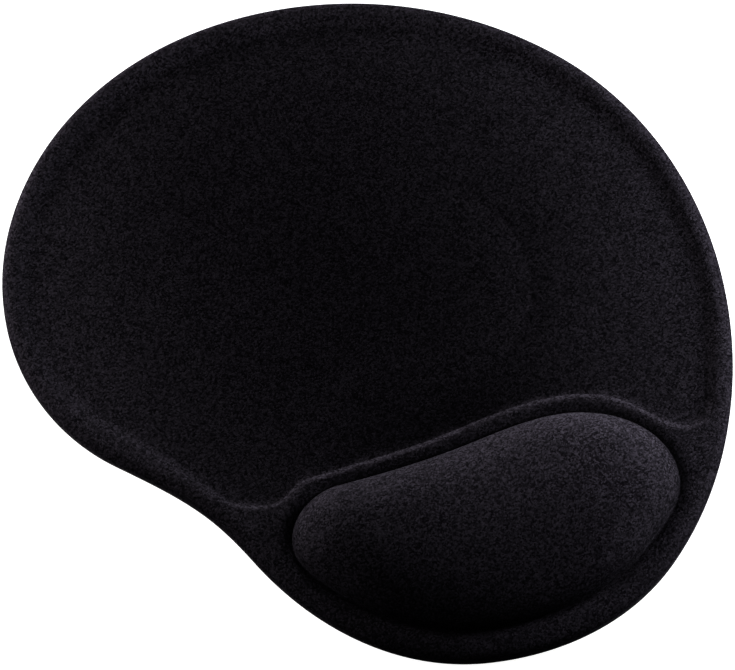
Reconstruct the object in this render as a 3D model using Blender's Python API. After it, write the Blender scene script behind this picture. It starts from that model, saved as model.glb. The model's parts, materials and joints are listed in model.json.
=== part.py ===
"""Right-hand mouse pad with a built-in gel wrist rest, as a stack of separate bonded layers.

Frame: metres, +Z up, +X along the wrist rest to the user's right, +Y away from the user. The
origin is on the desk face, in the middle of the outline's box. The constants are in millimetres
and degrees, and become metres where a mesh is made.

Run with: blender --background --python part.py
"""

import math

import bmesh
import bpy
from mathutils import Vector
from mathutils.geometry import interpolate_bezier

MM = 0.001
GAP = 0.3  # clearance between neighbouring layers

# Closed outlines, counter-clockwise. Each anchor is x, y and the heading in degrees there.
OUTLINE = (
    (7.5, 114.5, 171),
    (-80.5, 96.0, 216),
    (-115.0, 20.5, 279),
    (-93.5, -19.0, 318),
    (-66.0, -48.0, 303),
    (-58.0, -62.5, 296),
    (7.0, -115.0, 351),
    (74.0, -99.0, 40),
    (114.5, -21.0, 83),
    (83.0, 76.5, 135),
)
GEL = (
    (-25.5, -46.2, 180),
    (-42.5, -71.0, 304),
    (20.0, -106.0, 0),
    (67.8, -92.0, 38),
    (83.4, -70.8, 90),
    (57.5, -43.4, 165),
    (14.0, -44.6, 186),
)
# Middle of the slope round the sunken mousing area. The fourth value is half the slope's width.
RECESS = (
    (6.5, 108.0, 171, 2.5),
    (-76.7, 90.7, 216, 2.5),
    (-108.6, 21.5, 279, 2.5),
    (-88.6, -13.6, 318, 2.2),
    (-68.0, -36.5, 312, 1.6),
    (-60.5, -43.0, 330, 1.0),
    (-51.0, -46.6, 347, 0.9),
    (-44.0, -46.3, 17, 0.9),
    (-38.2, -43.0, 30, 0.9),
    (-29.0, -41.7, 3, 0.9),
    (12.0, -39.5, 7, 0.9),
    (46.5, -36.4, 358, 0.9),
    (73.3, -44.7, 321, 0.9),
    (84.8, -54.9, 324, 0.9),
    (93.0, -57.5, 12, 1.4),
    (101.5, -47.0, 76, 2.0),
    (108.0, -20.2, 83, 2.5),
    (78.4, 71.9, 135, 2.5),
)
RIDGE = ((-18.0, -63.0), (52.0, -67.0))  # ends of the gel dome's crown line

# Heights of the cloth's outer face above the desk.
PLATFORM_Z = 7.5  # rim crest and the shelf round the gel
MOUSING_Z = 5.7
GROOVE_Z = 5.5
CROWN_Z = 21.0

EDGE_RADIUS = 3.0  # rounding of the pad's top edge
GROOVE_FLOOR = 0.4  # flat width at the gel's foot
GROOVE_WIDTH = 2.0  # gel's foot to the groove's upper edge
DOME_POWER = 2.2  # fullness of the dome's section: 2 is an ellipse
DOME_STEPS = (0.0, 0.03, 0.12, 0.3, 0.55, 0.8)  # share of the way from foot to crown line

# Layer thicknesses.
BASE_T = 1.0
BASE_FILM_T = 0.2
CLOTH_T = 0.8
COVER_FILM_T = 0.2
UPPER_FILM_T = 0.3
LOWER_FILM_T = 0.2

# Depths below the cloth's outer face, and heights above the desk, that follow from the stack.
COVER_FILM_DEPTH = CLOTH_T + GAP
FOAM_DEPTH = COVER_FILM_DEPTH + COVER_FILM_T + GAP
UPPER_FILM_DEPTH = FOAM_DEPTH
GEL_DEPTH = UPPER_FILM_DEPTH + UPPER_FILM_T + GAP
BASE_FILM_Z = BASE_T + GAP
FOAM_Z = BASE_FILM_Z + BASE_FILM_T + GAP
CLOTH_Z = BASE_T + GAP
SEAL_Z = GROOVE_Z - UPPER_FILM_DEPTH - UPPER_FILM_T  # underside of the upper film's flange
LOWER_FILM_Z = SEAL_Z - GAP - LOWER_FILM_T
POCKET_Z = LOWER_FILM_Z - GAP
GEL_Z = SEAL_Z

# The curves' facets: one step for each length or turn, whichever needs more.
STEP_LENGTH = 9.0
STEP_TURN = 12.0

# Base colour, roughness and metallic value of each layer.
BLACK_KNIT = ("black_knit", (0.012, 0.011, 0.014), 0.85, 0.0)
CLEAR_FILM = ("clear_film", (0.62, 0.64, 0.66), 0.25, 0.0)
SOFT_GEL = ("soft_gel", (0.35, 0.52, 0.66), 0.15, 0.0)
DARK_FOAM = ("dark_foam", (0.05, 0.05, 0.055), 0.9, 0.0)
ADHESIVE = ("adhesive", (0.7, 0.66, 0.5), 0.4, 0.0)
GRIP_RUBBER = ("grip_rubber", (0.02, 0.02, 0.022), 0.75, 0.0)


def clear_scene():
    for thing in list(bpy.data.objects):
        bpy.data.objects.remove(thing, do_unlink=True)


def direction(heading):
    return Vector((math.cos(math.radians(heading)), math.sin(math.radians(heading))))


def turn_between(start, end):
    """Signed turn in degrees from one anchor's heading to the next."""
    return (end[2] - start[2] + 180) % 360 - 180


def step_count(start, end):
    """Facets on the span between two anchors, the same for every layer."""
    length = (Vector(end[:2]) - Vector(start[:2])).length
    return math.ceil(max(length / STEP_LENGTH, abs(turn_between(start, end)) / STEP_TURN))


def grown(anchor, distance):
    """The anchor's place, moved outwards, square to its heading."""
    return Vector(anchor[:2]) + distance * direction(anchor[2] - 90)


def ring(anchors, growth, height):
    """Points of a closed outline at one height, grown outwards by a distance or by one per anchor."""
    if not isinstance(growth, (list, tuple)):
        growth = [growth] * len(anchors)
    places = [grown(anchor, g) for anchor, g in zip(anchors, growth, strict=True)]
    points = []
    for i, start in enumerate(anchors):
        j = (i + 1) % len(anchors)
        end = anchors[j]
        turn = math.radians(turn_between(start, end))
        reach = (places[j] - places[i]).length / 3 / math.cos(turn / 4) ** 2
        leaving = places[i] + reach * direction(start[2])
        arriving = places[j] - reach * direction(end[2])
        count = step_count(start, end)
        span = interpolate_bezier(places[i], leaving, arriving, places[j], count + 1)
        points += [Vector((p.x, p.y, height)) for p in span[:-1]]
    return points


def nearest_on_ridge(point):
    start, end = (Vector(p) for p in RIDGE)
    along = (point.xy - start).dot(end - start) / (end - start).length_squared
    return start + min(max(along, 0.0), 1.0) * (end - start)


def rim_rings(depth, low):
    """The pad's side and its rounded top edge, from the bottom up to the crest."""
    radius = EDGE_RADIUS - depth
    centre_z = PLATFORM_Z - EDGE_RADIUS
    rings = [ring(OUTLINE, -depth, low)]
    for angle in (0, 30, 60, 90):
        along = math.radians(angle)
        growth = radius * math.cos(along) - EDGE_RADIUS
        rings.append(ring(OUTLINE, growth, centre_z + radius * math.sin(along)))
    return rings


def recess_rings(depth):
    """The crest and the foot of the slope down to the mousing area."""
    rise = PLATFORM_Z - MOUSING_Z
    widths = [anchor[3] for anchor in RECESS]
    shifts = [depth * math.tan(math.atan2(rise, 2 * w) / 2) for w in widths]
    crest = [shift + w for shift, w in zip(shifts, widths, strict=True)]
    foot = [shift - w for shift, w in zip(shifts, widths, strict=True)]
    return [ring(RECESS, crest, PLATFORM_Z - depth), ring(RECESS, foot, MOUSING_Z - depth)]


def groove_rings(depth):
    """The groove's upper edge and the outer edge of its floor."""
    slope = math.atan2(PLATFORM_Z - GROOVE_Z, GROOVE_WIDTH - GROOVE_FLOOR)
    shift = depth * math.tan(slope / 2)
    return [
        ring(GEL, GROOVE_WIDTH + shift, PLATFORM_Z - depth),
        ring(GEL, GROOVE_FLOOR + shift, GROOVE_Z - depth),
    ]


def dome_rings(depth, foot_z):
    """The gel dome from its foot to the crown, steep behind and long in front of the crown line."""
    foot = ring(GEL, -depth, foot_z)
    rings = []
    for share in DOME_STEPS:
        rise = (1 - (1 - share) ** DOME_POWER) ** (1 / DOME_POWER)
        height = foot_z + (CROWN_Z - depth - foot_z) * rise
        rings.append([p.xy.lerp(nearest_on_ridge(p), share).to_3d() for p in foot])
        for p in rings[-1]:
            p.z = height
    return rings


def loft(bm, rings):
    """Bands of faces between rings of equal count. Returns the edges of the first and last ring."""
    loops = [[bm.verts.new(p * MM) for p in points] for points in rings]
    count = len(loops[0])
    for lower, upper in zip(loops, loops[1:], strict=False):
        for i in range(count):
            j = (i + 1) % count
            bm.faces.new((lower[i], lower[j], upper[j], upper[i]))
    return [closed_edges(bm, loops[0]), closed_edges(bm, loops[-1])]


def closed_edges(bm, loop):
    pairs = zip(loop, loop[1:] + loop[:1], strict=True)
    return [bm.edges.get(pair) or bm.edges.new(pair) for pair in pairs]


def fill(bm, *edge_loops):
    """A flat sheet inside the first loop, with the other loops as its holes."""
    edges = [edge for loop in edge_loops for edge in loop]
    bmesh.ops.triangle_fill(bm, use_beauty=True, edges=edges, normal=(0, 0, 1))


def upper_face(bm, depth, low):
    """The pad's whole formed face, a depth below the cloth's. Returns its open lower edge."""
    side, crest = loft(bm, rim_rings(depth, low))
    recess_crest, recess_foot = loft(bm, recess_rings(depth))
    groove_edge, groove_floor = loft(bm, groove_rings(depth))
    dome_foot, dome_top = loft(bm, dome_rings(depth, GROOVE_Z - depth))
    fill(bm, crest, recess_crest, groove_edge)
    fill(bm, recess_foot)
    fill(bm, groove_floor, dome_foot)
    fill(bm, dome_top)
    return side


def material(name, colour, roughness, metallic):
    made = bpy.data.materials.get(name) or bpy.data.materials.new(name)
    made.use_nodes = True
    shader = made.node_tree.nodes["Principled BSDF"]
    shader.inputs["Base Color"].default_value = (*colour, 1.0)
    shader.inputs["Roughness"].default_value = roughness
    shader.inputs["Metallic"].default_value = metallic
    made.diffuse_color = (*colour, 1.0)
    return made


def finish(bm, name, look, collection):
    """Turn a closed bmesh into a named, smooth-shaded object with its material."""
    bmesh.ops.recalc_face_normals(bm, faces=bm.faces)
    mesh = bpy.data.meshes.new(name)
    bm.to_mesh(mesh)
    bm.free()
    mesh.materials.append(material(*look))
    mesh.shade_smooth()
    mesh.set_sharp_from_angle(angle=math.radians(35))
    part = bpy.data.objects.new(name, mesh)
    collection.objects.link(part)


def formed_layer(name, look, collection, depth, thickness, low):
    """A sheet of even thickness that follows the whole upper face and turns down at the edge."""
    bm = bmesh.new()
    outer = upper_face(bm, depth, low)
    inner = upper_face(bm, depth + thickness, low)
    fill(bm, outer, inner)
    finish(bm, name, look, collection)


def flat_sheet(name, look, collection, anchors, growth, low, thickness):
    """A flat sheet cut to an outline."""
    bm = bmesh.new()
    sheet = [ring(anchors, growth, low), ring(anchors, growth, low + thickness)]
    for edges in loft(bm, sheet):
        fill(bm, edges)
    finish(bm, name, look, collection)


def foam_body(collection):
    """Moulded slab: rim, sunken mousing area, and the pocket that holds the gel pack."""
    bm = bmesh.new()
    side, crest = loft(bm, rim_rings(FOAM_DEPTH, FOAM_Z))
    recess_crest, recess_foot = loft(bm, recess_rings(FOAM_DEPTH))
    mouth, wall_top = groove_rings(FOAM_DEPTH)
    wall_foot = [Vector((p.x, p.y, POCKET_Z)) for p in wall_top]
    pocket_edge, pocket_floor = loft(bm, [mouth, wall_top, wall_foot])
    fill(bm, crest, recess_crest, pocket_edge)
    fill(bm, recess_foot)
    fill(bm, pocket_floor)
    fill(bm, side)
    finish(bm, "foam_body", DARK_FOAM, collection)


def gel_fill(collection):
    bm = bmesh.new()
    for edges in loft(bm, dome_rings(GEL_DEPTH, GEL_Z)):
        fill(bm, edges)
    finish(bm, "gel_fill", SOFT_GEL, collection)


def gel_upper_film(collection):
    """Domed film over the gel, with a flat flange that is sealed to the lower film."""
    bm = bmesh.new()
    inner_depth = UPPER_FILM_DEPTH + UPPER_FILM_T
    flange = [ring(GEL, GROOVE_FLOOR, SEAL_Z), ring(GEL, GROOVE_FLOOR, SEAL_Z + UPPER_FILM_T)]
    under, over = loft(bm, flange)
    outer_foot, outer_top = loft(bm, dome_rings(UPPER_FILM_DEPTH, SEAL_Z + UPPER_FILM_T))
    inner_foot, inner_top = loft(bm, dome_rings(inner_depth, SEAL_Z))
    fill(bm, over, outer_foot)
    fill(bm, under, inner_foot)
    fill(bm, outer_top)
    fill(bm, inner_top)
    finish(bm, "gel_upper_film", CLEAR_FILM, collection)


def main():
    clear_scene()
    parts = bpy.data.collections.new("wrist_rest")
    bpy.context.scene.collection.children.link(parts)

    flat_sheet("non_slip_base", GRIP_RUBBER, parts, OUTLINE, 0.0, 0.0, BASE_T)
    flat_sheet("base_bond_film", ADHESIVE, parts, OUTLINE, -FOAM_DEPTH, BASE_FILM_Z, BASE_FILM_T)
    foam_body(parts)
    flat_sheet("gel_lower_film", CLEAR_FILM, parts, GEL, GROOVE_FLOOR, LOWER_FILM_Z, LOWER_FILM_T)
    gel_fill(parts)
    gel_upper_film(parts)
    formed_layer(
        "cover_bond_film", ADHESIVE, parts, COVER_FILM_DEPTH, COVER_FILM_T, FOAM_Z
    )
    formed_layer("cover_cloth", BLACK_KNIT, parts, 0.0, CLOTH_T, CLOTH_Z)


main()
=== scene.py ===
"""Looks of the right-hand mouse pad with a gel wrist rest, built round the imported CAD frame.

Two pieces stand for what is seen: knit_cover, one cloth over the rim, the sunken mousing area, the
groove and the gel, and grip_base, the sheet under it. The layers between them stay as the CAD has
them. Lengths are millimetres and angles degrees until a mesh is made, and heights are worked out
from the frame. The stage is in metres.
"""

import json
import math

import bmesh
import bpy
import numpy as np
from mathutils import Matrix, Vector
from mathutils.geometry import delaunay_2d_cdt, interpolate_bezier
from mathutils.kdtree import KDTree


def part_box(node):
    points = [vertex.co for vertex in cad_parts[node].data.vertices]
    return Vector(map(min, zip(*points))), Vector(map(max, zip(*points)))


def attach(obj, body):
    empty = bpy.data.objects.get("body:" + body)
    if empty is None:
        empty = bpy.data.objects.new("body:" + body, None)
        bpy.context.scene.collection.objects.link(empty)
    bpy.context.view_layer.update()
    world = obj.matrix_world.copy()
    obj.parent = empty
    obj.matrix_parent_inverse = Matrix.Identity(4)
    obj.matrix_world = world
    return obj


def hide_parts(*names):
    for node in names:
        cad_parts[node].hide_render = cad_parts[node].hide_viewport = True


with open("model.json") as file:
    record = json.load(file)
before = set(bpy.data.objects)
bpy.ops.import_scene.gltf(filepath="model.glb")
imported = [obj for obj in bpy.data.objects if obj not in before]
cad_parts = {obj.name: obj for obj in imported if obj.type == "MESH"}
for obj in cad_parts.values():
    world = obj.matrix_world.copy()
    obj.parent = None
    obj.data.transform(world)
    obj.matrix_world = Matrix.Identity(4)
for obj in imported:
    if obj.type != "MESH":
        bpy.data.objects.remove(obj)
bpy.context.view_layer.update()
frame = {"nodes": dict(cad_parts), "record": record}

MM = 0.001

# Closed curves, counter-clockwise. Each anchor is x, y and the heading there.
# The outline and the gel's foot are the CAD's, and the outline's fourth value is the width of its
# rounded edge.
OUTLINE = (
    (7.5, 114.5, 171, 2.1),
    (-80.5, 96.0, 216, 2.2),
    (-115.0, 20.5, 279, 3.6),
    (-93.5, -19.0, 318, 4.0),
    (-66.0, -48.0, 303, 4.5),
    (-58.0, -62.5, 296, 5.5),
    (7.0, -115.0, 351, 5.5),
    (74.0, -99.0, 40, 5.0),
    (114.5, -21.0, 83, 4.0),
    (83.0, 76.5, 135, 3.2),
)
GEL = (
    (-25.5, -46.2, 180),
    (-42.5, -71.0, 304),
    (20.0, -106.0, 0),
    (67.8, -92.0, 38),
    (83.4, -70.8, 90),
    (57.5, -43.4, 165),
    (14.0, -44.6, 186),
)
# Middle of the slope round the mousing area, and half the slope's width. The cloth bridges the CAD
# foam's step: its slope is up to 1 mm wider to each side, and up to 2 mm further in at the lower left.
RECESS = (
    (6.5, 108.0, 171, 3.4),
    (-76.7, 90.7, 216, 3.4),
    (-108.2, 21.5, 279, 3.2),
    (-87.2, -12.1, 318, 3.0),
    (-66.9, -35.5, 312, 2.2),
    (-60.5, -43.0, 330, 1.0),
    (-51.0, -46.6, 347, 1.2),
    (-44.0, -46.3, 17, 1.2),
    (-38.2, -43.0, 30, 1.2),
    (-29.0, -41.7, 3, 1.2),
    (12.0, -39.5, 7, 1.2),
    (46.5, -36.4, 358, 1.2),
    (73.3, -44.7, 321, 1.2),
    (84.8, -54.9, 324, 1.2),
    (93.0, -57.5, 12, 1.4),
    (101.5, -47.0, 76, 2.0),
    (108.0, -20.2, 83, 2.7),
    (78.4, 71.9, 135, 3.2),
)
SHARP_WIDTH = 2.0  # a slope whose half width is less than this begins to meet its floor at a crease
RIDGE = ((-18.0, -63.0), (52.0, -67.0))  # ends of the gel dome's crown line

# Marks of use on the mousing area: the right side of a round dent, and creases in the cloth.
DENT_MIDDLE = (21.8, 10.6)
DENT_RADIUS = 33.0
DENT_DEPTH = 0.2
DENT_LEAN = -25.0  # heading at which the dent is sharpest
DENT_REACH = 14.0  # how far the floor slopes on each side of the dent's line
DENT_END = -0.1  # cosine of the heading, from its lean, at which the dent ends
DENT_TURN = 110.0  # how far round to each side the dent's line has vertices of its own
CREASES = (
    # one end, the other end and the height
    ((37.6, 18.8), (46.0, -13.5), 0.08),
    ((8.0, 95.0), (37.6, 18.8), 0.03),
)
CREASE_WIDTH = 0.7

# Heights above the desk, from the frame.
RIM_RISE = 1.8  # of the rim's crest and the shelf round the gel, over the mousing area
GROOVE_DROP = 0.2  # of the groove's bottom, under the mousing area
MOUNTS = {mount["name"]: mount for mount in frame["record"]["mounts"]}
MOUSING_Z = MOUNTS["mousing_face"]["pos_m"][2] / MM
BASE_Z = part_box("non_slip_base")[1].z / MM
HEM_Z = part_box("cover_cloth")[0].z / MM
CROWN_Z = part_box("cover_cloth")[1].z / MM
PLATFORM_Z = MOUSING_Z + RIM_RISE
GROOVE_Z = MOUSING_Z - GROOVE_DROP

CLOTH_T = 0.8
EDGE_HEIGHT = 3.0  # of the rounded edge
SIDE_FOOT = 0.9  # height over the hem from which the side's rows are evenly spaced
HEM_TURN = ((0.35, 0.0), (0.1, 0.1), (0.0, 0.4))  # how far in and how high the hem's points lie
GROOVE_WIDTH = 4.6  # from the gel's foot to where the cloth round it is level
SHALLOW = 0.9  # how much less deep the groove is at the gel's right
SHALLOW_SPAN = (35.0, 80.0)  # x between which the groove becomes less deep
DOME_POWER = 2.2
RING_CROWDING = 1.7  # draws the dome's rings together at its foot
PIT_SPACING = 1.5  # pits of the base's underside
PIT_DEPTH = 0.25
BASE_ROUND = 0.25  # radius of the base's lower edge
BASE_PROFILE = (
    # distance grown from the outline and height, from the underside up
    (-BASE_ROUND, 0.0),
    (-0.07, 0.07),
    (0.0, BASE_ROUND),
    (0.0, BASE_Z - 0.2),
    (-0.2, BASE_Z),
)

# The gel's skin starts slack and is swollen by a short cloth simulation on a coarse mesh.
SLACK = 0.5  # how far the slack crown lies under the finished one
SWELL_STEP = 2.6
SWELL_RINGS = 14
SWELL_PRESSURE = 4.0
SWELL_FRAMES = 20
SWELL_CAP = 0.9  # farthest that the pressure moves a point

# Spacing of vertices.
ALONG = 0.9  # along the curves
CLOSEST = 0.3
SIDE_ROWS = 5
EDGE_BANDS = 12  # of faces on the rounded edge
GROOVE_START = 0.4  # from the gel's foot to the groove's first row
GROOVE_ROWS = 7
SLOPE_ROWS = 9
OPEN_SHARE = 0.6  # of the open areas' spacing, which their vertices keep clear of others
FROM_GEL = 0.1  # least distance from the gel's foot
MEASURE_STEP = 0.15  # along a curve that distances are measured from
WELD = 0.02  # vertices nearer than this become one
GRID_REACH = 120.0  # past the pad's edge on every side
# Each face of the cover: step along the curves, spacing in the open areas and rings on the gel.
OUTER_FACE = (ALONG, 1.7, 26)
INNER_FACE = (3.0, 6.0, 8)


def smooth(share):
    share = np.clip(share, 0.0, 1.0)
    return share * share * (3 - 2 * share)


def direction(heading):
    return Vector((math.cos(math.radians(heading)), math.sin(math.radians(heading))))


def pairs(loop):
    """Each item of a closed loop with the next."""
    return zip(loop, loop[1:] + loop[:1], strict=True)


def step_count(start, end, step):
    """Number of steps from one place to another, seen from above."""
    return math.ceil((Vector(end[:2]) - Vector(start[:2])).length / step)


def trace(anchors, step):
    """Points of a closed curve, about a step apart: x, y and the anchors' fourth value, or 0."""
    points = []
    for start, end in pairs(anchors):
        a, b = Vector(start[:2]), Vector(end[:2])
        turn = math.radians((end[2] - start[2] + 180) % 360 - 180)
        reach = (b - a).length / 3 / math.cos(turn / 4) ** 2
        leaving = a + reach * direction(start[2])
        arriving = b - reach * direction(end[2])
        count = step_count(start, end, step)
        span = interpolate_bezier(a, leaving, arriving, b, count + 1)
        for i, point in enumerate(span[:-1]):
            width = start[3] + (end[3] - start[3]) * smooth(i / count) if len(start) > 3 else 0.0
            points.append((point.x, point.y, width))
    return np.array(points)


def outward(points):
    """Unit normals of a closed counter-clockwise curve."""
    along = np.roll(points[:, :2], -1, 0) - np.roll(points[:, :2], 1, 0)
    along /= np.linalg.norm(along, axis=1)[:, None]
    return np.stack([along[:, 1], -along[:, 0]], 1)


def grown(points, distance):
    return points[:, :2] + outward(points) * np.reshape(distance, (-1, 1))


def tree_of(points):
    """A search tree of the points as seen from above."""
    tree = KDTree(len(points))
    for i, point in enumerate(points):
        tree.insert((point[0], point[1], 0.0), i)
    tree.balance()
    return tree


class Curve:
    """A closed curve that tells how far outside it a point is."""

    def __init__(self, anchors):
        self.points = trace(anchors, MEASURE_STEP)
        self.normals = outward(self.points)
        self.tree = tree_of(self.points)

    def measure(self, places):
        """Distance outside the curve, and the curve's fourth value, for each place."""
        found = np.array([self.tree.find((x, y, 0.0))[1] for x, y in places])
        away = places - self.points[found, :2]
        side = np.sign((away * self.normals[found]).sum(1))
        return side * np.linalg.norm(away, axis=1), self.points[found, 2]


OUTLINE_CURVE = Curve(OUTLINE)
RECESS_CURVE = Curve(RECESS)
GEL_CURVE = Curve(GEL)


def groove_height(places):
    """Height of the groove's bottom, which rises towards the gel's right end."""
    start, end = SHALLOW_SPAN
    return GROOVE_Z + SHALLOW * smooth((places[:, 0] - start) / (end - start))


def dent(places):
    """Depth of the round dent, which fades out on the side away from its lean."""
    away = places - DENT_MIDDLE
    radius = np.maximum(np.linalg.norm(away, axis=1), 1.0)
    slope = np.maximum(1 - np.abs(radius - DENT_RADIUS) / DENT_REACH, 0.0) ** 2
    towards_lean = away @ np.array(direction(DENT_LEAN)) / radius
    return DENT_DEPTH * slope * smooth(towards_lean - DENT_END)


def crease_heights(places):
    """Height of the creases, which fade out over the quarter at each end."""
    total = np.zeros(len(places))
    for start, end, height in CREASES:
        line = np.array(end) - start
        share = (places - start) @ line / (line @ line)
        nearest = start + np.clip(share, 0.0, 1.0)[:, None] * line
        away = np.linalg.norm(places - nearest, axis=1)
        fade = smooth(4 * share) * smooth(4 * (1 - share))
        total += height * fade * np.maximum(1 - away / CREASE_WIDTH, 0.0)
    return total


def cloth_height(places, marked):
    """Height of the cloth's face inside the rim's crest and outside the gel, with or without the marks."""
    outside, width = RECESS_CURVE.measure(places)
    share = np.clip((outside / width + 1) / 2, 0.0, 1.0)
    rounded = 1 - (1 - share) ** 2
    raised = smooth(share) + (rounded - smooth(share)) * smooth(SHARP_WIDTH - width)
    floor = MOUSING_Z + marked * (crease_heights(places) - dent(places))
    from_gel = np.maximum(GEL_CURVE.measure(places)[0], 0.0)
    grooved = np.maximum(1 - from_gel / GROOVE_WIDTH, 0.0) ** 2
    return floor + (PLATFORM_Z - floor) * raised - (PLATFORM_Z - groove_height(places)) * grooved


def nearest_on_ridge(points):
    start, end = np.array(RIDGE)
    along = (points - start) @ (end - start) / ((end - start) @ (end - start))
    return start + np.clip(along, 0.0, 1.0)[:, None] * (end - start)


def dome_rings(depth, step, count):
    """Rings of x, y, z from the gel's foot to near its crown line, before the gel swells."""
    foot = grown(trace(GEL, step), -depth)
    crown = nearest_on_ridge(foot)
    low = groove_height(foot) - depth
    rings = []
    for i in range(count):
        share = (i / count) ** RING_CROWDING
        rise = (1 - (1 - share) ** DOME_POWER) ** (1 / DOME_POWER)
        places = foot + share * (crown - foot)
        heights = low + (CROWN_Z - SLACK - depth - low) * rise
        rings.append(np.column_stack([places, heights]))
    return np.array(rings)


def object_from(bm, name):
    bmesh.ops.recalc_face_normals(bm, faces=bm.faces)
    mesh = bpy.data.meshes.new(name)
    bm.to_mesh(mesh)
    bm.free()
    mesh.shade_smooth()
    made = bpy.data.objects.new(name, mesh)
    bpy.context.scene.collection.objects.link(made)
    return made


def closed_edges(bm, loop):
    return [bm.edges.get(pair) for pair in pairs(loop)]


def join_loops(bm, loops):
    """Four-sided faces between each closed loop of vertices and the next."""
    for lower, upper in zip(loops, loops[1:], strict=False):
        for i in range(len(lower)):
            j = (i + 1) % len(lower)
            bm.faces.new((lower[i], lower[j], upper[j], upper[i]))


def slack_skin(rings):
    """A coarse mesh of the gel's slack skin, with its foot as a vertex group."""
    bm = bmesh.new()
    loops = [[bm.verts.new(point * MM) for point in ring] for ring in rings]
    join_loops(bm, loops)
    bmesh.ops.triangle_fill(bm, use_beauty=True, edges=closed_edges(bm, loops[-1]))
    skin = object_from(bm, "gel_skin")
    foot = skin.vertex_groups.new(name="foot")
    foot.add(range(rings.shape[1]), 1.0, "REPLACE")
    return skin


def gel_swell():
    """How far the gel pushes each point of a coarse dome: a cloth under pressure, pinned at its foot."""
    rings = dome_rings(0.0, SWELL_STEP, SWELL_RINGS)
    skin = slack_skin(rings)
    cloth = skin.modifiers.new("pressure", "CLOTH")
    cloth.settings.vertex_group_mass = "foot"
    cloth.settings.use_pressure = True
    cloth.settings.uniform_pressure_force = SWELL_PRESSURE
    cloth.settings.effector_weights.gravity = 0.0
    for number in range(1, SWELL_FRAMES + 1):
        bpy.context.scene.frame_set(number)
    posed = skin.evaluated_get(bpy.context.evaluated_depsgraph_get())
    after = np.array([v.co for v in posed.data.vertices])[: rings.size // 3] / MM
    bpy.context.scene.frame_set(1)
    bpy.data.objects.remove(skin)
    push = after.reshape(rings.shape) - rings
    length = np.linalg.norm(push, axis=2, keepdims=True)
    return push * np.minimum(1.0, SWELL_CAP / np.maximum(length, 1e-6))


def span_share(step):
    """Place of each point of the gel's traced foot, in spans from the first anchor."""
    shares = []
    for i, (start, end) in enumerate(pairs(GEL)):
        count = step_count(start, end, step)
        shares += [i + j / count for j in range(count)]
    return np.array(shares)


def swollen(rings, step, push):
    """The dome's rings moved by the coarse dome's push, which is nothing at the foot."""
    known, wanted = span_share(SWELL_STEP), span_share(step)
    last = SWELL_RINGS - 1
    moved = rings.copy()
    for i in range(len(rings)):
        level = min(i / len(rings) * SWELL_RINGS, last)
        below = int(level)
        above = min(below + 1, last)
        here = push[below] + (push[above] - push[below]) * (level - below)
        for axis in range(3):
            moved[i, :, axis] += np.interp(wanted, known, here[:, axis], period=len(GEL))
    return moved


def grid_lines(spacing):
    """Places of a staggered grid's rows and of its even rows' points."""
    rows = np.arange(-GRID_REACH, GRID_REACH, spacing * math.sqrt(0.75))
    return rows, np.arange(-GRID_REACH, GRID_REACH, spacing)


def open_grid(spacing):
    """A staggered grid over the whole pad."""
    rows, columns = grid_lines(spacing)
    return np.array([(x + (i % 2) * spacing / 2, y) for i, y in enumerate(rows) for x in columns])


def pit_pattern(spacing):
    """True at every third point of the staggered grid, so that each pit is ringed by six flat points."""
    rows, columns = grid_lines(spacing)
    pits = [(j - i // 2 + 2 * i) % 3 == 0 for i in range(len(rows)) for j in range(len(columns))]
    return np.array(pits)


def clear_of(places, taken, distance):
    tree = tree_of(taken)
    return np.array([tree.find((x, y, 0.0))[2] > distance for x, y in places])


def crease_rows(start, end, step):
    """Places along a crease's line and along both of its sides."""
    line = Vector(end) - Vector(start)
    side = np.array(Vector((-line.y, line.x)).normalized()) * CREASE_WIDTH
    shares = np.linspace(0, 1, step_count(start, end, step))[:, None]
    row = np.array(start) + shares * (np.array(end) - start)
    return [row + share * side for share in (0, -1, 1)]


def guide_rows(step):
    """Rows of places along the cloth's bends: the groove, the mousing area's slope and the marks."""
    groove = trace(GEL, step)
    distances = np.linspace(GROOVE_START, GROOVE_WIDTH, GROOVE_ROWS)
    rows = [grown(groove, distance) for distance in distances]
    recess = trace(RECESS, step)
    rows += [grown(recess, share * recess[:, 2]) for share in np.linspace(-1.0, 1.0, SLOPE_ROWS)]
    around = np.radians(np.arange(-DENT_TURN, DENT_TURN, math.degrees(step / DENT_RADIUS)))
    rows.append(DENT_RADIUS * np.stack([np.cos(around), np.sin(around)], 1) + DENT_MIDDLE)
    for start, end, _ in CREASES:
        rows += crease_rows(start, end, step)
    return rows


def inner_points(crest, depth, face, push):
    """The crest's points and then all of the cloth's points inside it, as x, y, z."""
    step, spacing, ring_count = face
    dome = dome_rings(depth, step, ring_count)
    if push is not None:
        dome = swollen(dome, step, push)
    points = np.vstack([crest, *dome])
    groups = [(row, CLOSEST) for row in guide_rows(step)]
    groups.append((open_grid(spacing), OPEN_SHARE * spacing))
    for places, apart in groups:
        places = places[clear_of(places, points, apart)]
        outside, width = OUTLINE_CURVE.measure(places)
        places = places[outside < -width - apart]
        places = places[GEL_CURVE.measure(places)[0] > FROM_GEL]
        heights = cloth_height(places, depth == 0.0) - depth
        points = np.vstack([points, np.column_stack([places, heights])])
    return points


def fill_ring(bm, ring, points):
    """Fill a ring of vertices with triangles between points, the first of which are the ring's own."""
    count = len(ring)
    edges = [(i, (i + 1) % count) for i in range(count)]
    flat = [Vector(point[:2]) for point in points]
    made = delaunay_2d_cdt(flat, edges, [], 1, 1e-5)
    corners = [bm.verts.new(points[source[0]] * MM) for source in made[3]]
    for triangle in made[2]:
        bm.faces.new([corners[i] for i in triangle])
    bmesh.ops.remove_doubles(bm, verts=ring + corners, dist=WELD * MM)


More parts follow.
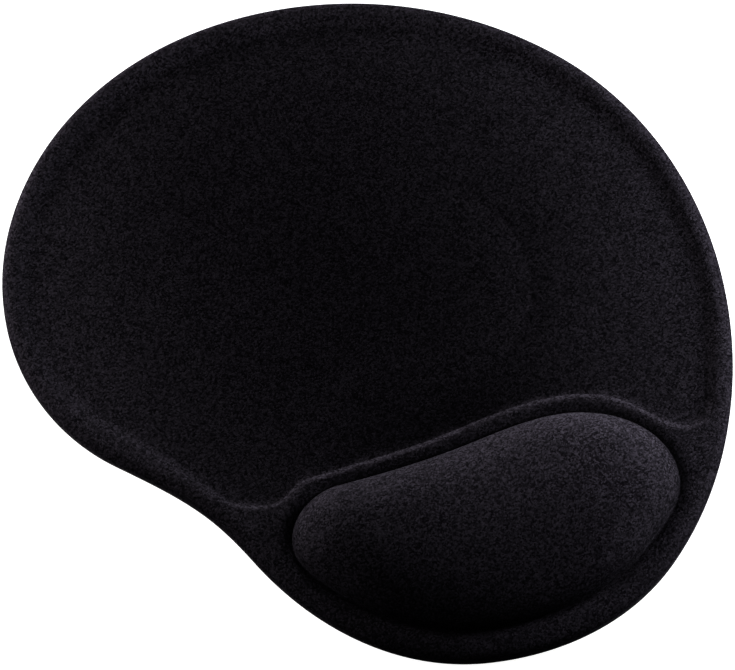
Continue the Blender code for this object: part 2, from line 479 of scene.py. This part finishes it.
def rim_profile(depth, width):
    """Distances grown from the outline and heights, from the hem up to the crest."""
    corner = PLATFORM_Z - EDGE_HEIGHT
    side = [(-depth - inward, HEM_Z + rise) for inward, rise in HEM_TURN]
    side += [(-depth, z) for z in np.linspace(HEM_Z + SIDE_FOOT, corner, SIDE_ROWS)]
    for angle in np.radians(np.linspace(0, 90, EDGE_BANDS + 1)[1:]):
        distance = (width - depth) * math.cos(angle) - width
        side.append((distance, corner + (EDGE_HEIGHT - depth) * math.sin(angle)))
    return side


def outline_wall(bm, line, profile):
    """Faces round a traced outline. Returns a loop of vertices for each distance and height."""
    loops = []
    for distance, z in profile:
        loops.append([bm.verts.new((x * MM, y * MM, z * MM)) for x, y in grown(line, distance)])
    join_loops(bm, loops)
    return loops


def cover_skin(bm, depth, face, push):
    """One face of the cloth. Returns its hem's vertices."""
    line = trace(OUTLINE, face[0])
    loops = outline_wall(bm, line, rim_profile(depth, line[:, 2]))
    crest = np.array([v.co for v in loops[-1]]) / MM
    fill_ring(bm, loops[-1], inner_points(crest, depth, face, push))
    return loops[0]


def knit_cover(push):
    """One closed cloth: its fine outer face, a coarser inner face and the hem between them."""
    bm = bmesh.new()
    outer = cover_skin(bm, 0.0, OUTER_FACE, push)
    inner = cover_skin(bm, CLOTH_T, INNER_FACE, push)
    hem = closed_edges(bm, outer) + closed_edges(bm, inner)
    bmesh.ops.triangle_fill(bm, use_beauty=True, edges=hem)
    return object_from(bm, "knit_cover")


def grip_base():
    """The bottom sheet, with rounded edges and rows of shallow pits pressed in its underside."""
    bm = bmesh.new()
    loops = outline_wall(bm, trace(OUTLINE, ALONG), BASE_PROFILE)
    bmesh.ops.triangle_fill(bm, use_beauty=True, edges=closed_edges(bm, loops[-1]))
    edge = np.array([v.co for v in loops[0]]) / MM
    grid = open_grid(PIT_SPACING)
    underside = np.column_stack([grid, pit_pattern(PIT_SPACING) * PIT_DEPTH])
    inside = OUTLINE_CURVE.measure(grid)[0] < -BASE_ROUND - OPEN_SHARE * PIT_SPACING
    fill_ring(bm, loops[0], np.vstack([edge, underside[inside]]))
    return object_from(bm, "grip_base")


# Materials: each is a node tree on the piece's own coordinates, which are in metres.

KNIT_COLOUR = (0.0076, 0.0066, 0.0086)
RUBBER_COLOUR = (0.018, 0.018, 0.02)
FOAM_COLOUR = (0.05, 0.05, 0.055)
GEL_COLOUR = (0.35, 0.52, 0.66)
FILM_COLOUR = (0.62, 0.64, 0.66)
GLUE_COLOUR = (0.7, 0.66, 0.5)
NOISE_SPAN = (0.3, 0.7)  # most of a noise's values lie between these

STITCH = 0.5  # width of a fleck of the brushed knit
WALE, COURSE = 0.46, 0.38  # spacing of the knit's columns and rows
V_SLOPE = 1.4  # of the V stitches' legs
FLECK_GAIN = 2.05  # tone of the brightest fleck
FLECK_DARKEST = 0.42  # share, before the power, of the darkest fleck
FLECK_POWER = 2.4
KNIT_BUMP = 0.12  # depth of the whole, and the parts in it of stitches, fuzz and flecks
STITCH_BUMP, FUZZ_BUMP, FLECK_BUMP = 0.35, 1.3, -0.4
SPECULAR_OF_TONE = 0.02
SHEEN_OF_TONE = 0.025

# Tones of the cloth, which are factors of its colour. Apart from the rim's tone, they are painted light
# and shade.
# Painted shade: the mousing area is darker in its middle and lighter towards its edge.
FLOOR_SHADE_MIDDLE = (-1.0, 17.0)
FLOOR_SHADE_LEAN = 112.0  # heading of the painted shade's longer side
FLOOR_SHADE_STRETCH = 1.17
FLOOR_SHADE_TONE = 0.285
FLOOR_EDGE_LIGHT_GAIN = 0.44  # painted light that is added towards the mousing area's edge
FLOOR_SHADE_POWER = 2.3
FLOOR_SHADE_REACH = 105.0  # from the middle of the painted shade to the mousing area's edge
WRIST_SHADE_MIDDLE = (14.0, -38.0)  # of the band of painted shade by the wrist step
WRIST_SHADE_HALVES = (52.0, 27.0)
WRIST_SHADE_TONE = 0.6
DENT_PAINTED_HIGHLIGHT, DENT_PAINTED_SHADE = 0.2, 0.17  # painted highlight inside and painted shade outside the dent's line
RIM_TONE = 0.88
GEL_LIGHT_TONES = (0.85, 1.2)  # painted light on the gel, from its left to its right
# painted highlight on the gel's left end
GEL_LEFT_END_HIGHLIGHT = 1.35
STEEP_SHADE_AND_LIGHT = (0.5, 1.1)  # painted shade and light on steep cloth, from the front to the back
BACK_HIGHLIGHT_TONE = 0.6  # painted highlight added where the cloth over the wrist step and the gel's back faces the back

# Where one tone gives way to the next.
RIM_Z = (MOUSING_Z + 0.1, MOUSING_Z + 0.7)
GEL_Z = (7.5, 13.0)
GEL_X = (-20.0, 80.0)
GEL_LEFT_END_X = (-42.0, -22.0)
STEEP_Y = (20.0, 90.0)
STEEP_UPRIGHT = (0.38, 1.0)  # upward part of the normal, for steep and for level cloth
BACK_HIGHLIGHT_FACING = (0.2, 0.7)  # backward part of the normal
WRIST_FRONT_Y, WRIST_BACK_Y = (-70.0, -58.0), (-30.0, -10.0)
DENT_SIDE = (12.0, 42.0)  # along the dent's lean, from the origin


def add(tree, kind, settings=(), **inputs):
    """A new node with its inputs linked or set. An input's name is written with _ for a space."""
    node = tree.nodes.new("ShaderNode" + kind)
    for key, value in dict(settings).items():
        setattr(node, key, value)
    for key, value in inputs.items():
        plug(tree, node.inputs[key.replace("_", " ")], value)
    return node


def plug(tree, socket, value):
    if isinstance(value, bpy.types.NodeSocket):
        tree.links.new(value, socket)
    else:
        socket.default_value = value


def calc(tree, operation, *values):
    node = add(tree, "Math", {"operation": operation})
    for socket, value in zip(node.inputs, values, strict=False):
        plug(tree, socket, value)
    return node.outputs[0]


def product(tree, *factors):
    result = factors[0]
    for factor in factors[1:]:
        result = calc(tree, "MULTIPLY", result, factor)
    return result


def blend(tree, share, first, second):
    """The first value where the share is 0 and the second where it is 1."""
    return add(tree, "Mix", Factor=share, A=first, B=second).outputs[0]


def split(tree, vector):
    return add(tree, "SeparateXYZ", Vector=vector).outputs


def dotted(tree, vector, constant):
    node = add(tree, "VectorMath", {"operation": "DOT_PRODUCT"}, Vector=vector)
    node.inputs[1].default_value = constant
    return node.outputs["Value"]


def cells(tree, place, size):
    """Packed cells about size millimetres wide."""
    return add(tree, "TexVoronoi", Vector=place, Scale=1000.0 / size)


def chance(tree, pattern):
    """A random share from 0 to 1 for each cell."""
    return split(tree, pattern.outputs["Color"])[0]


def grain(tree, place, size, detail=2.0):
    """Noise whose features are about size millimetres wide."""
    return add(tree, "TexNoise", Vector=place, Scale=1000.0 / size, Detail=detail).outputs["Fac"]


def spread(tree, value, low, high, to_low, to_high, kind="LINEAR"):
    node = add(
        tree, "MapRange", {"interpolation_type": kind},
        Value=value, From_Min=low, From_Max=high, To_Min=to_low, To_Max=to_high,
    )
    return node.outputs[0]


def spread_mm(tree, distance, low, high, to_low, to_high, kind="LINEAR"):
    """As spread, for a distance in metres with its limits in millimetres."""
    return spread(tree, distance, low * MM, high * MM, to_low, to_high, kind)


def vary(tree, noise, low, high):
    """A value from low to high that follows a noise."""
    return spread(tree, noise, *NOISE_SPAN, low, high)


def tinted(tree, colour, factor):
    """The colour times a factor."""
    node = add(tree, "VectorMath", {"operation": "SCALE"}, Scale=factor)
    node.inputs[0].default_value = colour
    return node.outputs[0]


def start_material(name):
    made = bpy.data.materials.new(name)
    made.use_nodes = True
    tree = made.node_tree
    place = add(tree, "TexCoord").outputs["Object"]
    return made, tree, tree.nodes["Principled BSDF"], place


def finish_surface(tree, shader, colour, roughness, height, depth, specular):
    """Plug a surface's colour, roughness, specular level and bump, whose depth is in millimetres."""
    plug(tree, shader.inputs["Base Color"], colour)
    plug(tree, shader.inputs["Roughness"], roughness)
    bump = add(tree, "Bump", Strength=1.0, Distance=depth * MM, Height=height)
    plug(tree, shader.inputs["Normal"], bump.outputs[0])
    plug(tree, shader.inputs["Specular IOR Level"], specular)


def knit_rows(tree, across, along):
    """Columns of small V stitches on two coordinates."""
    wale = calc(tree, "DIVIDE", across, WALE * MM)
    course = calc(tree, "DIVIDE", along, COURSE * MM)
    slant = product(tree, calc(tree, "PINGPONG", wale, 0.5), V_SLOPE)
    rows = calc(tree, "SINE", product(tree, calc(tree, "ADD", course, slant), math.tau))
    legs = calc(tree, "ABSOLUTE", calc(tree, "SINE", product(tree, wale, math.tau)))
    return product(
        tree,
        spread(tree, rows, -1.0, 1.0, 0.0, 1.0),
        spread(tree, legs, 0.0, 1.0, 0.4, 1.0),
    )


def knit_height(tree, place):
    """The stitches on whichever of the three planes the surface lies nearest to."""
    x, y, z = split(tree, place)
    facing = split(tree, add(tree, "NewGeometry").outputs["Normal"])
    weights = [calc(tree, "POWER", calc(tree, "ABSOLUTE", side), 4.0) for side in facing]
    total = calc(tree, "ADD", calc(tree, "ADD", weights[0], weights[1]), weights[2])
    height = 0.0
    for weight, across, along in zip(weights, (y, x, x), (z, z, y), strict=True):
        share = calc(tree, "DIVIDE", weight, total)
        height = calc(tree, "ADD", height, product(tree, share, knit_rows(tree, across, along)))
    return height


def from_middle(tree, place, middle, heading, half_length, half_width):
    """0 in the middle of an ellipse seen from above, and 1 on its edge."""
    centred = add(tree, "VectorMath", {"operation": "SUBTRACT"}, Vector=place)
    centred.inputs[1].default_value = (middle[0] * MM, middle[1] * MM, 0.0)
    squares = []
    for side, half in ((direction(heading), half_length), (direction(heading + 90), half_width)):
        scaled = (side.x / (half * MM), side.y / (half * MM), 0.0)
        share = dotted(tree, centred.outputs[0], scaled)
        squares.append(product(tree, share, share))
    return calc(tree, "SQRT", calc(tree, "ADD", *squares))


def dent_painted_light(tree, place):
    """Painted highlight just inside the right of the dent's line, and painted shade outside it."""
    reach = from_middle(tree, place, DENT_MIDDLE, 0, DENT_RADIUS, DENT_RADIUS)
    inside = spread(tree, reach, 0.4, 1.0, 0.0, DENT_PAINTED_HIGHLIGHT)
    outside = spread(tree, reach, 1.0, 1.6, -DENT_PAINTED_SHADE, 0.0)
    towards_lean = dotted(tree, place, (*direction(DENT_LEAN), 0.0))
    at_right = spread_mm(tree, towards_lean, *DENT_SIDE, 0.0, 1.0, "SMOOTHSTEP")
    mark = blend(tree, calc(tree, "GREATER_THAN", reach, 1.0), inside, outside)
    return calc(tree, "ADD", product(tree, mark, at_right), 1.0)


def painted_floor_shade(tree, place):
    """Painted shade on the mousing area: darker in its middle and lighter towards its edge, and darker in
    a band by the wrist step.
    """
    half_length, half_width = FLOOR_SHADE_REACH * FLOOR_SHADE_STRETCH, FLOOR_SHADE_REACH / FLOOR_SHADE_STRETCH
    reach = from_middle(tree, place, FLOOR_SHADE_MIDDLE, FLOOR_SHADE_LEAN, half_length, half_width)
    outer = product(tree, calc(tree, "POWER", reach, FLOOR_SHADE_POWER), FLOOR_EDGE_LIGHT_GAIN)
    wrist = from_middle(tree, place, WRIST_SHADE_MIDDLE, 0, *WRIST_SHADE_HALVES)
    # painted shade in a band on the mousing area by the wrist step
    wrist_shade = spread(tree, wrist, 0.2, 1.0, WRIST_SHADE_TONE, 1.0)
    return product(tree, calc(tree, "ADD", outer, FLOOR_SHADE_TONE), wrist_shade, dent_painted_light(tree, place))


def gel_painted_light(tree, x):
    """Painted light on the cloth over the gel: lighter towards the right, and a painted highlight at the
    left end.
    """
    return product(
        tree,
        spread_mm(tree, x, *GEL_X, *GEL_LIGHT_TONES),
        spread_mm(tree, x, *GEL_LEFT_END_X, GEL_LEFT_END_HIGHLIGHT, 1.0),
    )


def back_facing_highlight(tree, y, backward):
    """Painted highlight where the cloth by the wrist faces the back."""
    by_wrist = product(
        tree,
        spread_mm(tree, y, *WRIST_FRONT_Y, 0.0, 1.0),
        spread_mm(tree, y, *WRIST_BACK_Y, 1.0, 0.0),
    )
    back_highlight = spread(tree, backward, *BACK_HIGHLIGHT_FACING, 0.0, BACK_HIGHLIGHT_TONE)
    return calc(tree, "ADD", product(tree, by_wrist, back_highlight), 1.0)


def cloth_tone_with_painted_light(tree, place):
    """Tone by place, mostly painted light and shade: the mousing area, the rim and shelf, and the gel, and
    by how the cloth faces.
    """
    x, y, z = split(tree, place)
    _, backward, upright = split(tree, add(tree, "NewGeometry").outputs["Normal"])
    raised = spread_mm(tree, z, *RIM_Z, 0.0, 1.0)
    on_gel = spread_mm(tree, z, *GEL_Z, 0.0, 1.0, "SMOOTHSTEP")
    flat = blend(tree, raised, painted_floor_shade(tree, place), RIM_TONE)
    # steep cloth is painted darker at the front and lighter at the back
    steep = spread_mm(tree, y, *STEEP_Y, *STEEP_SHADE_AND_LIGHT)
    return product(
        tree,
        blend(tree, on_gel, flat, gel_painted_light(tree, x)),
        spread(tree, upright, *STEEP_UPRIGHT, steep, 1.0),
        back_facing_highlight(tree, y, backward),
    )


def knit_material():
    made, tree, shader, place = start_material("black_knit")
    flecks = cells(tree, place, STITCH)
    tufts = cells(tree, place, 2.0 * STITCH)
    nap = grain(tree, place, 7.0, 3.0)
    patches = grain(tree, place, 45.0)
    fuzz = grain(tree, place, 0.8)
    bright = spread(tree, chance(tree, flecks), 0.0, 1.0, FLECK_DARKEST, 1.0)
    # the tone carries the knit's random flecks and nap, and the painted light and shade of the cloth's
    # tone by place
    tone = product(
        tree,
        calc(tree, "POWER", bright, FLECK_POWER),
        FLECK_GAIN,
        spread(tree, chance(tree, tufts), 0.0, 1.0, 0.85, 1.15),
        vary(tree, nap, 0.92, 1.08),
        vary(tree, patches, 0.92, 1.08),
        cloth_tone_with_painted_light(tree, place),
    )
    stitches = product(tree, knit_height(tree, place), STITCH_BUMP)
    height = calc(tree, "ADD", stitches, product(tree, fuzz, FUZZ_BUMP))
    height = calc(tree, "ADD", height, product(tree, flecks.outputs["Distance"], FLECK_BUMP))
    colour = tinted(tree, KNIT_COLOUR, tone)
    specular = product(tree, tone, SPECULAR_OF_TONE)
    finish_surface(tree, shader, colour, vary(tree, nap, 0.8, 0.95), height, KNIT_BUMP, specular)
    plug(tree, shader.inputs["Sheen Weight"], product(tree, tone, SHEEN_OF_TONE))
    shader.inputs["Sheen Roughness"].default_value = 0.35
    shader.inputs["Sheen Tint"].default_value = (0.88, 0.84, 1.0, 1.0)
    return made


def rubber_material():
    made, tree, shader, place = start_material("grip_rubber")
    speckle = grain(tree, place, 0.8, 3.0)
    patches = grain(tree, place, 25.0)
    tone = product(tree, vary(tree, speckle, 0.7, 1.3), vary(tree, patches, 0.8, 1.2))
    roughness = vary(tree, patches, 0.65, 0.85)
    finish_surface(tree, shader, tinted(tree, RUBBER_COLOUR, tone), roughness, speckle, 0.06, 0.3)
    return made


def foam_material():
    made, tree, shader, place = start_material("moulded_foam")
    bubbles = cells(tree, place, 0.5).outputs["Distance"]
    patches = grain(tree, place, 12.0)
    tone = product(tree, spread(tree, bubbles, 0.0, 0.6, 0.5, 1.3), vary(tree, patches, 0.8, 1.2))
    finish_surface(tree, shader, tinted(tree, FOAM_COLOUR, tone), 0.92, bubbles, 0.12, 0.2)
    return made


def gel_material():
    made, tree, shader, place = start_material("soft_gel")
    cloud = grain(tree, place, 18.0, 3.0)
    bubbles = cells(tree, place, 3.5).outputs["Distance"]
    tone = product(tree, vary(tree, cloud, 0.85, 1.15), spread(tree, bubbles, 0.0, 0.1, 1.25, 1.0))
    finish_surface(tree, shader, tinted(tree, GEL_COLOUR, tone), 0.18, cloud, 0.2, 0.5)
    shader.inputs["Subsurface Weight"].default_value = 0.6
    shader.inputs["Subsurface Radius"].default_value = (0.004, 0.006, 0.008)
    return made


def film_material(name, colour, roughness, size):
    """A thin sheet with faint ripples, the smoothest of which have the roughness given."""
    made, tree, shader, place = start_material(name)
    ripples = grain(tree, place, size, 3.0)
    tone = vary(tree, ripples, 0.85, 1.15)
    uneven = vary(tree, ripples, roughness, roughness + 0.2)
    finish_surface(tree, shader, tinted(tree, colour, tone), uneven, ripples, 0.05, 0.5)
    return made


def dress(piece, material):
    piece.data.materials.clear()
    piece.data.materials.append(material)


def dress_inner_layers():
    """The layers that the cover and the base hide."""
    film = film_material("clear_film", FILM_COLOUR, 0.2, 9.0)
    glue = film_material("adhesive_film", GLUE_COLOUR, 0.4, 4.0)
    looks = {
        "foam_body": foam_material(),
        "gel_fill": gel_material(),
        "gel_upper_film": film,
        "gel_lower_film": film,
        "cover_bond_film": glue,
        "base_bond_film": glue,
    }
    for node, look in looks.items():
        dress(frame["nodes"][node], look)


# Stage: floor, lights and camera, in metres.

FLOOR_SIZE = 12.0
FLOOR_DROP = 0.0002  # under the desk face, so that the base doesn't share its plane
FLOOR_TONE = 0.5
SURROUND_STRENGTH = 0.01
WHITE = (1.0, 1.0, 1.0)
COOL = (0.93, 0.93, 1.0)
WARM = (1.0, 0.95, 0.98)
SOFTBOXES = (
    # name, place, size, watts and colour
    ("right_softbox", (0.342, 0.0, 0.072), (0.2, 0.1), 3.7, COOL),
    ("left_softbox", (-0.30, 0.173, 0.049), (0.2, 0.08), 2.1, WARM),
    ("left_fill", (-0.3, 0.0, 0.175), (0.2, 0.08), 0.18, WARM),
    ("back_softbox", (0.0, 0.88, 0.17), (0.4, 0.12), 9.5, (0.96, 0.95, 1.0)),
    ("back_right_softbox", (0.74, 0.43, 0.28), (0.4, 0.15), 1.5, COOL),
    ("high_softbox", (0.0, 0.33, 0.62), (0.4, 0.3), 0.65, WHITE),
)
AZIMUTH = -15.4
ELEVATION = 75.8
CAMERA_DISTANCE = 3.6
SENSOR_WIDTH = 36.0  # millimetres, like the lens
FILL_OF_WIDTH = 0.9945
LIFT = 0.0005  # the object sits a little above the picture's middle


def camera_only(tree, strength, otherwise):
    """One strength for what the camera sees directly and another for all other light."""
    seen = add(tree, "LightPath").outputs["Is Camera Ray"]
    return spread(tree, seen, 0.0, 1.0, otherwise, strength)


def stage_floor():
    """A pale table whose white glow only the camera sees."""
    bpy.ops.mesh.primitive_plane_add(size=FLOOR_SIZE, location=(0.0, 0.0, -FLOOR_DROP))
    floor = bpy.context.object
    floor.name = "floor"
    made, tree, shader, _ = start_material("white_floor")
    shader.inputs["Base Color"].default_value = (FLOOR_TONE, FLOOR_TONE, FLOOR_TONE, 1.0)
    shader.inputs["Roughness"].default_value = 0.9
    shader.inputs["Specular IOR Level"].default_value = 0.0
    shader.inputs["Emission Color"].default_value = (*WHITE, 1.0)
    plug(tree, shader.inputs["Emission Strength"], camera_only(tree, 1.0, 0.0))
    dress(floor, made)


def softbox(name, place, size, power, colour):
    """An area light that looks at the pad's middle, unseen by the camera."""
    data = bpy.data.lights.new(name, "AREA")
    data.shape = "RECTANGLE"
    data.size, data.size_y = size
    data.energy = power
    data.color = colour
    light = bpy.data.objects.new(name, data)
    light.location = place
    light.rotation_mode = "QUATERNION"
    light.rotation_quaternion = Vector(place).to_track_quat("Z", "Y")
    light.visible_camera = False
    bpy.context.scene.collection.objects.link(light)


def surround():
    """A white background that lights the pad only dimly."""
    world = bpy.data.worlds.new("studio")
    world.use_nodes = True
    tree = world.node_tree
    background = tree.nodes["Background"]
    background.inputs["Color"].default_value = (*WHITE, 1.0)
    plug(tree, background.inputs["Strength"], camera_only(tree, 1.0, SURROUND_STRENGTH))
    bpy.context.scene.world = world


def camera(subject):
    """Camera at the picture's angle, with the subject centred as it is seen from there."""
    a, e = math.radians(AZIMUTH), math.radians(ELEVATION)
    back = Vector((math.sin(a) * math.cos(e), -math.cos(a) * math.cos(e), math.sin(e)))
    turn = back.to_track_quat("Z", "Y")
    right, up = turn @ Vector((1, 0, 0)), turn @ Vector((0, 1, 0))
    seen = np.array([(v.co.dot(right), v.co.dot(up), v.co.dot(back)) for v in subject.data.vertices])
    nearness = CAMERA_DISTANCE / (CAMERA_DISTANCE - seen[:, 2])
    middle = np.zeros(2)
    for _ in range(3):
        flat = (seen[:, :2] - middle) * nearness[:, None]
        low, high = flat.min(0), flat.max(0)
        middle += (low + high) / 2
    data = bpy.data.cameras.new("camera")
    data.sensor_width = SENSOR_WIDTH
    data.lens = SENSOR_WIDTH * CAMERA_DISTANCE * FILL_OF_WIDTH / (high[0] - low[0])
    made = bpy.data.objects.new("camera", data)
    made.location = right * middle[0] + up * (middle[1] - LIFT) + back * CAMERA_DISTANCE
    made.rotation_mode = "QUATERNION"
    made.rotation_quaternion = turn
    bpy.context.scene.collection.objects.link(made)
    bpy.context.scene.camera = made


def place_piece(piece, material, node):
    """Dress a piece that rides on the one body and stands for a CAD node."""
    dress(piece, material)
    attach(piece, "root")
    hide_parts(node)


def main():
    push = gel_swell()
    cover = knit_cover(push)
    place_piece(cover, knit_material(), "cover_cloth")
    place_piece(grip_base(), rubber_material(), "non_slip_base")
    dress_inner_layers()
    stage_floor()
    for settings in SOFTBOXES:
        softbox(*settings)
    surround()
    camera(cover)
    bpy.context.scene.view_settings.view_transform = "Standard"


main()
